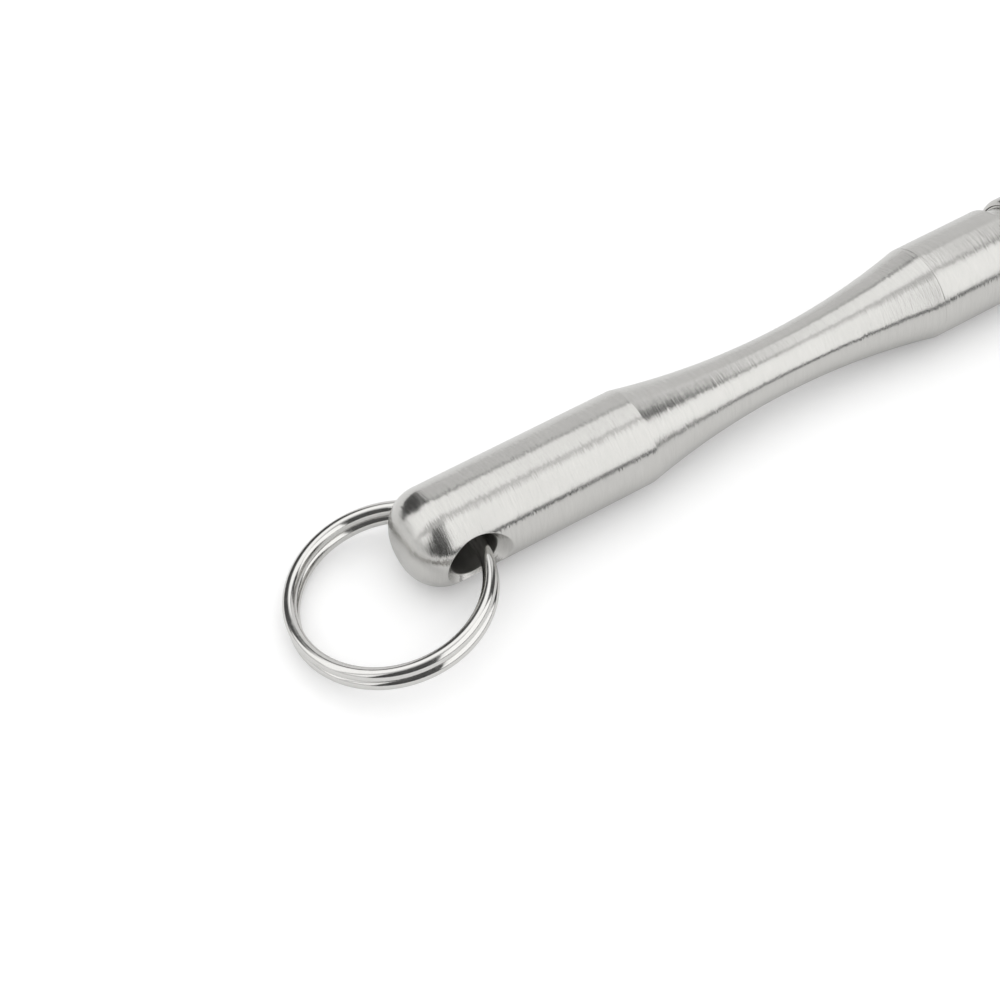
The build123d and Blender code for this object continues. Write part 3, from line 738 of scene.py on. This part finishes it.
def lens_piece(finish):
    rear, front, r = extent("lens")
    corners = [
        (rear, 0),
        (rear, r - LENS_CHAMFER),
        (rear + LENS_CHAMFER, r),
        (front - LENS_CHAMFER, r),
        (front, r - LENS_CHAMFER),
        (front, 0),
    ]
    return disc("turned_lens", corners, finish, edge=0.03)


def reflector_piece(finish):
    rear, front, r = extent("reflector")
    inside = bowl(rear, front, REFLECTOR_THROAT_R, r - REFLECTOR_LIP)
    outside = bowl(rear, front - REFLECTOR_RIM, REFLECTOR_THROAT_R + REFLECTOR_WALL, r - REFLECTOR_BACK_STEP)
    corners = [inside[-1], (front, r), (front - REFLECTOR_RIM, r), outside[-1]]
    flange = broken(corners, closed=False, edge=0.04)
    return turned("smooth_reflector", inside + flange[1:-1] + outside[::-1], finish)


def led_dome_piece(finish):
    rear, front, r = extent("led_dome")
    cap = arc((rear, 0), r, 90, 0, 24)
    return turned("moulded_led_dome", [(rear, 0)] + cap[:-1] + [(front, 0)], finish, closed=False)


def cell_can_piece(finish):
    rear, front, r = extent("cell_can")
    seat, _, seat_r = extent("cell_gasket")
    middle_r = r - CELL_ROLL
    side = arc((rear + CELL_ROLL, middle_r), CELL_ROLL, 180, 90, 10)
    side += arc((front - CELL_ROLL, middle_r), CELL_ROLL, 90, 0, 10)
    rest = [(front, seat_r), (seat, seat_r), (seat, 0)]
    return turned("drawn_cell_can", [(rear, 0)] + side + rest, finish, closed=False)


def cell_cap_piece(finish):
    rear, front, base_r = extent("cell_cap")
    _, base_front, _ = extent("cell_gasket")
    edge_x = front - CAP_EDGE
    corners = [(rear, 0), (rear, base_r), (base_front, base_r), (base_front, CAP_R), (edge_x, CAP_R)]
    tip = arc((edge_x, CAP_R - CAP_EDGE), CAP_EDGE, 90, 0, 10)
    outline = broken(corners, closed=False)[:-1] + tip + [(front, 0)]
    return turned("pressed_cell_cap", outline, finish, closed=False)


def spring_plate_piece(finish):
    rear, front, r = extent("spring_plate")
    step = front - BOSS_HEIGHT
    corners = [(rear, 0), (rear, r), (step, r), (step, BOSS_R), (front, BOSS_R), (front, 0)]
    return disc("turned_spring_plate", corners, finish)


def positive_contact_piece(finish):
    rear, front, foot_r = extent("positive_contact")
    step = front - CONTACT_FOOT_THICK
    corners = [(rear, 0), (rear, CONTACT_R), (step, CONTACT_R), (step, foot_r), (front, foot_r), (front, 0)]
    return disc("turned_positive_contact", corners, finish)


# ==== wire pieces ====
RING_WIRE_D = 1.9
RING_R = 13.3
RING_HOLE_GAP = 0.91          # wire to the front side of the hole
RING_MOUTH_GAP = 1.03         # wire to the rear edge of the +Y mouth
RING_PITCH = radians(8.31)    # how far the ring sinks towards its far end
RING_SAG = 0.27               # how far it lies below the hole's axis, as a share of its room in the hole
RING_LEAN = 1.2               # fall towards the +Y mouth for each millimetre of room past the next size
RING_UPRIGHT_ROOM = 0.904     # room in the hole that would keep the ring upright
RING_STEPS = 420
CROSSOVER_AT = 29.0           # degrees round the ring where the wire starts to climb to the upper turn
CROSSOVER_SPAN = 26.0
RING_END_GAP = 1.5            # degrees left between each wire end and the crossover
RING_TURN = 360 - CROSSOVER_SPAN - RING_END_GAP
SPRING_D = 6.4
SPRING_WIRE_D = 0.7
SPRING_TURNS = 5.0
SPRING_STEPS = 40             # in each turn
SPRING_CLOSING = 0.75         # 0 gives an even coil, and 1 wire ends that lie flat
WIRE_END = [(0.0, 0.8), (0.04, 0.9), (0.11, 0.97), (0.2, 1.0)]   # (radii from the end, thickness there)


def wire_tree():
    """Geometry Nodes: sweeps a round wire along the curve it is given and closes its ends."""
    tree = bpy.data.node_groups.new("round_wire", "GeometryNodeTree")
    sockets = (("Path", "NodeSocketGeometry"), ("Wire radius", "NodeSocketFloat"),
               ("Facets", "NodeSocketInt"), ("Finish", "NodeSocketMaterial"))
    for name, kind in sockets:
        tree.interface.new_socket(name, in_out="INPUT", socket_type=kind)
    tree.interface.new_socket("Wire", in_out="OUTPUT", socket_type="NodeSocketGeometry")
    given = add(tree, "NodeGroupInput")
    section = add(tree, "GeometryNodeCurvePrimitiveCircle",
                  {"Resolution": given.outputs["Facets"], "Radius": given.outputs["Wire radius"]})
    thickness = add(tree, "GeometryNodeInputRadius")
    wire = add(tree, "GeometryNodeCurveToMesh",
               {"Curve": given.outputs["Path"], "Profile Curve": section.outputs["Curve"],
                "Scale": thickness.outputs[0], "Fill Caps": True})
    smooth = add(tree, "GeometryNodeSetShadeSmooth", {"Geometry": wire.outputs["Mesh"]})
    solid = add(tree, "GeometryNodeRealizeInstances", {"Geometry": smooth.outputs[0]})
    coated = add(tree, "GeometryNodeSetMaterial",
                 {"Geometry": solid.outputs[0], "Material": given.outputs["Finish"]})
    add(tree, "NodeGroupOutput", {"Wire": coated.outputs[0]})
    return tree


WIRE = wire_tree()


def wire_piece(name, path, wire_d, finish, facets=40):
    """A wire whose ends are broken by a small radius. The path is in millimetres."""
    curve = bpy.data.curves.new(name + "_path", "CURVE")
    curve.dimensions = "3D"
    spline = curve.splines.new("POLY")
    half = wire_d / 2
    start, end = path[0], path[-1]
    into, out = (path[1] - start).normalized(), (path[-2] - end).normalized()
    front = [(start + into * half * d, thickness) for d, thickness in WIRE_END]
    rear = [(end + out * half * d, thickness) for d, thickness in reversed(WIRE_END)]
    whole = front + [(point, 1.0) for point in path[1:-1]] + rear
    spline.points.add(len(whole) - 1)
    for point, (place, thickness) in zip(spline.points, whole):
        point.co = (*(place * MM), 1)
        point.radius = thickness
    holder = placed(name + "_path", curve)
    sweep = holder.modifiers.new("wire", "NODES")
    sweep.node_group = WIRE
    values = {"Wire radius": half * MM, "Facets": facets, "Finish": finish}
    for socket in WIRE.interface.items_tree:
        if socket.name in values:
            sweep[socket.identifier] = values[socket.name]
    bpy.context.view_layer.update()
    mesh = bpy.data.meshes.new_from_object(holder.evaluated_get(bpy.context.evaluated_depsgraph_get()))
    bpy.data.objects.remove(holder)
    bpy.data.curves.remove(curve)
    mesh.name = name
    face_outwards(mesh)
    return placed(name, mesh)


def ring_path():
    """Two turns of wire one on the other, with the step where the lower climbs to the upper."""
    half = RING_WIRE_D / 2
    start = CROSSOVER_AT - RING_TURN
    end = CROSSOVER_AT + CROSSOVER_SPAN + RING_TURN
    room = HOLE_R - RING_WIRE_D
    play = HOLE_R - half - RING_HOLE_GAP
    bow = HOLE_R + SINK_WIDTH + play - half - RING_MOUTH_GAP
    chord = sqrt(RING_R**2 - (RING_R - bow) ** 2)
    roll = -asin(RING_LEAN * (room - RING_UPRIGHT_ROOM) / chord)
    drop = RING_R * sin(RING_PITCH) + RING_SAG * room
    centre = Vector((HOLE_X + play - RING_R, BODY_R - chord, -drop))
    path = []
    for i in range(RING_STEPS + 1):
        angle = start + (end - start) * i / RING_STEPS
        share = min(max((angle - CROSSOVER_AT) / CROSSOVER_SPAN, 0), 1)
        lift = half * (2 * (3 - 2 * share) * share**2 - 1)
        turn = radians(angle)
        x, y, z = RING_R * cos(turn), RING_R * sin(turn), lift
        x, z = x * cos(RING_PITCH) - z * sin(RING_PITCH), x * sin(RING_PITCH) + z * cos(RING_PITCH)
        y, z = y * cos(roll) - z * sin(roll), y * sin(roll) + z * cos(roll)
        path.append(centre + Vector((x, y, z)))
    return path


def spring_path():
    """Coil whose turns lie closer together towards its ends."""
    low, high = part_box("contact_spring")
    rear = low.x / MM + SPRING_WIRE_D / 2
    front = high.x / MM - SPRING_WIRE_D / 2
    steps = int(SPRING_TURNS * SPRING_STEPS)
    path = []
    for i in range(steps + 1):
        share = i / steps
        turn = 2 * pi * SPRING_TURNS * share
        eased = share * share * (3 - 2 * share)
        x = rear + (front - rear) * ((1 - SPRING_CLOSING) * share + SPRING_CLOSING * eased)
        path.append(Vector((x, SPRING_D / 2 * cos(turn), SPRING_D / 2 * sin(turn))))
    return path


# ==== finishes, each with what it gives the eye ====
# bright and silky, with a duller bore where the ring runs, coloured darker there as painted shade
steel_handle = turned_steel("turned_stainless_bar", bored=True)
# the same bright, silky turning
steel_head = turned_steel("turned_stainless_head")
# tumbled wire: nearly a mirror, with soft tiny dents
ring_steel = plain_finish("polished_spring_steel", "#CFCECB", "#DAD9D7", 0.8, 0.14, metallic=1.0,
                          bump_mm=0.0006)
# drawn wire: a greyer, softer gleam
spring_steel = plain_finish("bright_spring_wire", "#B9B7B2", "#C8C6C1", 0.3, 0.22, metallic=1.0)
# plating: a warm, even gleam
nickel = plain_finish("nickel_plated_steel", "#C9C5BC", "#D3CFC6", 0.5, 0.25, metallic=1.0, bump_mm=0.001)
# greased rubber: black with a dull sheen
rubber = plain_finish("black_nitrile_rubber", "#161616", "#202020", 0.2, 0.55, bump_mm=0.004)
# bare brass: yellow metal, a little uneven in tone
brass = plain_finish("turned_brass", "#C9A54E", "#D8B765", 0.3, 0.28, metallic=1.0, bump_mm=0.001)
# plastic film: dark blue, glossy and slightly rippled
film = plain_finish("heat_shrunk_cell_film", "#20304A", "#263A58", 1.2, 0.3, bump_mm=0.004)
# undyed nylon: cream, half matt
insulator = plain_finish("natural_nylon", "#D9D4C4", "#E4E0D2", 0.5, 0.42, bump_mm=0.002)
# lacquer over copper: deep green with a soft gloss
board = plain_finish("green_solder_mask", "#1E4B32", "#265C3E", 0.4, 0.32, bump_mm=0.002)
# white lacquer over aluminium: plain white, half matt
metal_board = plain_finish("white_metal_core_board", "#DADAD6", "#E6E6E2", 0.4, 0.4, bump_mm=0.002)
# fired ceramic: chalky off-white
ceramic = plain_finish("led_ceramic", "#E2DFD6", "#ECE9E1", 0.15, 0.5, bump_mm=0.001)
# phosphor layer: strong flat yellow
phosphor = plain_finish("led_phosphor", "#E9C83C", "#F0D552", 0.05, 0.6, bump_mm=0.002)
# moulded silicone: clear as a drop of water
silicone = plain_finish("clear_silicone", "#F4F4F0", "#FBFBF8", 1.0, 0.06,
                        settings={"Transmission Weight": 1.0, "IOR": 1.41})
# coated glass: clear, with sharp highlights and a cool cast
glass = plain_finish("coated_lens_glass", "#F6F8FA", "#FAFBFD", 2.0, 0.03,
                     settings={"Transmission Weight": 1.0, "IOR": 1.52})
# aluminium laid on lacquer: a clean mirror
mirror = plain_finish("vacuum_coated_reflector", "#DCDDDE", "#E6E7E8", 0.6, 0.06, metallic=1.0,
                      bump_mm=0.0003)
# wire covering: soft red without a shine
lead_rubber = plain_finish("lead_silicone", "#B02020", "#C02A28", 0.3, 0.5)
# moulded epoxy: black and finely pitted
chip = plain_finish("epoxy_chip", "#1B1B1C", "#262627", 0.1, 0.5, bump_mm=0.003)
# pressed ferrite: dark grey and grainy
ferrite = plain_finish("ferrite_coil", "#4A4A4C", "#58585A", 0.1, 0.5, bump_mm=0.004)
# small parts of fired ceramic: plain tan
tan_ceramic = plain_finish("tan_ceramic", "#9A7B58", "#AC8C68", 0.1, 0.45, bump_mm=0.002)

# ==== pieces: (body that each rides on, node that it stands for, slot of its finish, piece) ====
PIECES = [
    ("body", "handle", "turned_steel", handle_piece(steel_handle)),
    ("body", "battery_barrel", "turned_steel", barrel_piece(steel_head)),
    ("head", "head_shell", "turned_steel", shell_piece(steel_head)),
    ("head", "bezel_ring", "turned_steel", bezel_piece(steel_head)),
    ("key_ring", "split_ring", "polished_steel",
     wire_piece("split_ring_wire", ring_path(), RING_WIRE_D, ring_steel)),
    ("body", "contact_spring", "spring_steel",
     wire_piece("coiled_contact_spring", spring_path(), SPRING_WIRE_D, spring_steel, facets=16)),
    ("body", "barrel_seal", "black_rubber",
     tube("ring_seal_of_barrel", "barrel_seal", SPIGOT_GLAND_R, rubber, edge=0.33)),
    ("body", "neck_seal", "black_rubber",
     tube("ring_seal_of_neck", "neck_seal", NECK_GLAND_R, rubber, edge=0.24)),
    ("head", "lens_gasket", "black_rubber",
     tube("ring_seal_of_lens", "lens_gasket", BEZEL_BORE_R, rubber, edge=0.25)),
    ("body", "spring_plate", "brass", spring_plate_piece(brass)),
    ("cell", "cell_can", "nickel_steel", cell_can_piece(nickel)),
    ("cell", "cell_cap", "nickel_steel", cell_cap_piece(nickel)),
    ("cell", "cell_wrap", "cell_film", tube("shrunk_cell_wrap", "cell_wrap", CELL_R, film, edge=0.03)),
    ("cell", "cell_gasket", "insulator_plastic",
     tube("moulded_cell_gasket", "cell_gasket", CAP_BASE_R, insulator)),
    ("head", "lens", "lens_glass", lens_piece(glass)),
    ("head", "reflector", "reflector_mirror", reflector_piece(mirror)),
    ("head", "led_dome", "emitter_dome", led_dome_piece(silicone)),
    ("head", "led_spacer", "insulator_plastic",
     tube("moulded_led_spacer", "led_spacer", SPACER_BORE_R, insulator)),
    ("head", "positive_contact", "brass", positive_contact_piece(brass)),
    ("head", "contact_insulator", "insulator_plastic",
     tube("moulded_contact_insulator", "contact_insulator", INSULATOR_BORE_R, insulator)),
]
for body, node, slot, piece in PIECES:
    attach(piece, body)
    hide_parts(node)

# the spring gets a mesh of its own
spring = bpy.data.objects["coiled_contact_spring"]
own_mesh(spring)

# pieces that keep the shape of their CAD nodes
NODE_FINISHES = {
    "heat_sink_pill": brass,
    "driver_retainer": brass,
    "led_package": ceramic,
    "led_die": phosphor,
    "led_board": metal_board,
    "led_leads": lead_rubber,
    "driver_board": board,
    "driver_chip": chip,
    "driver_coil": ferrite,
    "driver_passives": tan_ceramic,
}
for name, finish in NODE_FINISHES.items():
    node_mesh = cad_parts[name].data
    node_mesh.materials.clear()
    node_mesh.materials.append(finish)

# ==== floor ====
FLOOR_HALF = 6.0              # metres from the origin to each side
FLOOR_GLOW = 0.16             # for the camera alone, which brings the open floor up to white
WHITE = (1, 1, 1, 1)
CORNERS = ((-1, -1), (1, -1), (1, 1), (-1, 1))
floor_mesh = bpy.data.meshes.new("floor")
floor_mesh.from_pydata([(x * FLOOR_HALF, y * FLOOR_HALF, FLOOR_Z) for x, y in CORNERS], [], [(0, 1, 2, 3)])
placed("floor", floor_mesh)
# matt card: pale, with a fibre too faint to pick out
card, tree, shader = new_finish("pale_card")
on_floor = add(tree, "ShaderNodeTexCoord").outputs["Object"]
fibre = add(tree, "ShaderNodeTexNoise", {"Vector": on_floor, "Scale": 400.0, "Detail": 3.0})
card_tone = add(tree, "ShaderNodeMapRange", {"Value": fibre.outputs["Fac"], "To Min": 0.89, "To Max": 0.91})
tree.links.new(card_tone.outputs[0], shader.inputs["Base Color"])
shader.inputs["Roughness"].default_value = 0.9
shader.inputs["Specular IOR Level"].default_value = 0.2
glow = add(tree, "ShaderNodeEmission", {"Color": WHITE, "Strength": FLOOR_GLOW})
ray = add(tree, "ShaderNodeLightPath")
seen = add(tree, "ShaderNodeMixShader", {0: ray.outputs["Is Camera Ray"], 2: glow.outputs[0]})
both = add(tree, "ShaderNodeAddShader", {0: shader.outputs[0], 1: seen.outputs[0]})
tree.links.new(both.outputs[0], tree.nodes["Material Output"].inputs["Surface"])
floor_mesh.materials.append(card)

# ==== light: a white tent, seen from the middle of it ====
# What is glossy reflects three soft boxes and a pale back wall, with dark gaps between. Each is (level,
# softness of its edge, (measure, from, to), (measure, from, to)) in degrees, and covers those before it.
GAP_LEVEL = 0.08
LIGHTS = (
    (0.86, 3, ("azimuth", 13, 80), ("elevation", -5, 43)),         # back wall
    (0.76, 3, ("azimuth", 134, 211), ("elevation", -5, 20)),       # card under the left box
    (1.32, 3, ("azimuth", 130, 211), ("elevation", 16, 80)),       # left box
    (0.66, 3, ("lean along", -80, 35), ("lean across", -20, 0)),   # frame of the overhead box
    (1.42, 3, ("azimuth", -88, -13), ("elevation", 7.5, 67)),      # right box
    (0.98, 3, ("lean along", -80, 35), ("lean across", -5, 10)),   # dim edge of the overhead box
    (1.34, 10, ("lean along", -80, 37), ("lean across", -2, 39)),  # overhead box
)
# What is matt is lit by the tent's roof, and less by its sides, which keeps the shadow close.
LOW_LIGHT = 0.12
ROOF_LIGHT = 1.56
world = bpy.data.worlds.new("studio")
bpy.context.scene.world = world
world.use_nodes = True
sky = world.node_tree
sky.nodes.clear()
way = add(sky, "ShaderNodeSeparateXYZ", {"Vector": add(sky, "ShaderNodeTexCoord").outputs["Generated"]})
east, north, up = way.outputs["X"], way.outputs["Y"], way.outputs["Z"]
measures = {
    "azimuth": add(sky, "ShaderNodeMath", {0: north, 1: east}, operation="ARCTAN2").outputs[0],
    "elevation": add(sky, "ShaderNodeMath", {0: up}, operation="ARCSINE").outputs[0],
    "lean along": add(sky, "ShaderNodeMath", {0: east, 1: up}, operation="ARCTAN2").outputs[0],
    "lean across": add(sky, "ShaderNodeMath", {0: north, 1: up}, operation="ARCTAN2").outputs[0],
}


def within(measure, start, end):
    """How far inside a span of angles a direction lies, in degrees; below nought outside it."""
    off = add(sky, "ShaderNodeMath", {0: measures[measure], 1: radians((start + end) / 2)},
              operation="SUBTRACT")
    nearest = add(sky, "ShaderNodeMath", {0: off.outputs[0], 1: -pi, 2: pi}, operation="WRAP")
    size = add(sky, "ShaderNodeMath", {0: nearest.outputs[0]}, operation="ABSOLUTE")
    in_degrees = add(sky, "ShaderNodeMath", {0: size.outputs[0]}, operation="DEGREES")
    return add(sky, "ShaderNodeMath", {0: (end - start) / 2, 1: in_degrees.outputs[0]},
               operation="SUBTRACT").outputs[0]


gap = add(sky, "ShaderNodeValue")
gap.outputs[0].default_value = GAP_LEVEL
reflected = gap.outputs[0]
for level, softness, first, second in LIGHTS:
    inside = add(sky, "ShaderNodeMath", {0: within(*first), 1: within(*second)}, operation="MINIMUM")
    cover = add(sky, "ShaderNodeMapRange",
                {"Value": inside.outputs[0], "From Min": -softness / 2, "From Max": softness / 2},
                interpolation_type="SMOOTHSTEP")
    reflected = add(sky, "ShaderNodeMix", {"Factor": cover.outputs[0], 2: reflected, 3: level}).outputs[0]
roof = add(sky, "ShaderNodeMapRange", {"Value": up, "To Min": LOW_LIGHT, "To Max": ROOF_LIGHT})
boxes, tent, backdrop = [
    add(sky, "ShaderNodeBackground", {"Color": WHITE, "Strength": strength}).outputs[0]
    for strength in (reflected, roof.outputs[0], 1.0)
]
sky_ray = add(sky, "ShaderNodeLightPath")
not_glossy = add(sky, "ShaderNodeMixShader",
                 {0: sky_ray.outputs["Is Camera Ray"], 1: tent, 2: backdrop}).outputs[0]
whole_sky = add(sky, "ShaderNodeMixShader", {0: sky_ray.outputs["Is Glossy Ray"], 1: not_glossy, 2: boxes})
add(sky, "ShaderNodeOutputWorld", {"Surface": whole_sky.outputs[0]})

# ==== camera ====
CAMERA_AT = Vector((-0.21404, -0.14159, 0.21368))
LOOK_AT = Vector((-0.12004, 0.00499, -0.0070))
view = bpy.data.cameras.new("camera")
view.lens = 73.5
view.sensor_width = 36
view.clip_start = 0.01
camera = placed("camera", view)
camera.location = CAMERA_AT
camera.rotation_euler = (LOOK_AT - CAMERA_AT).to_track_quat("-Z", "Y").to_euler()
bpy.context.scene.camera = camera
bpy.context.scene.view_settings.view_transform = "Standard"
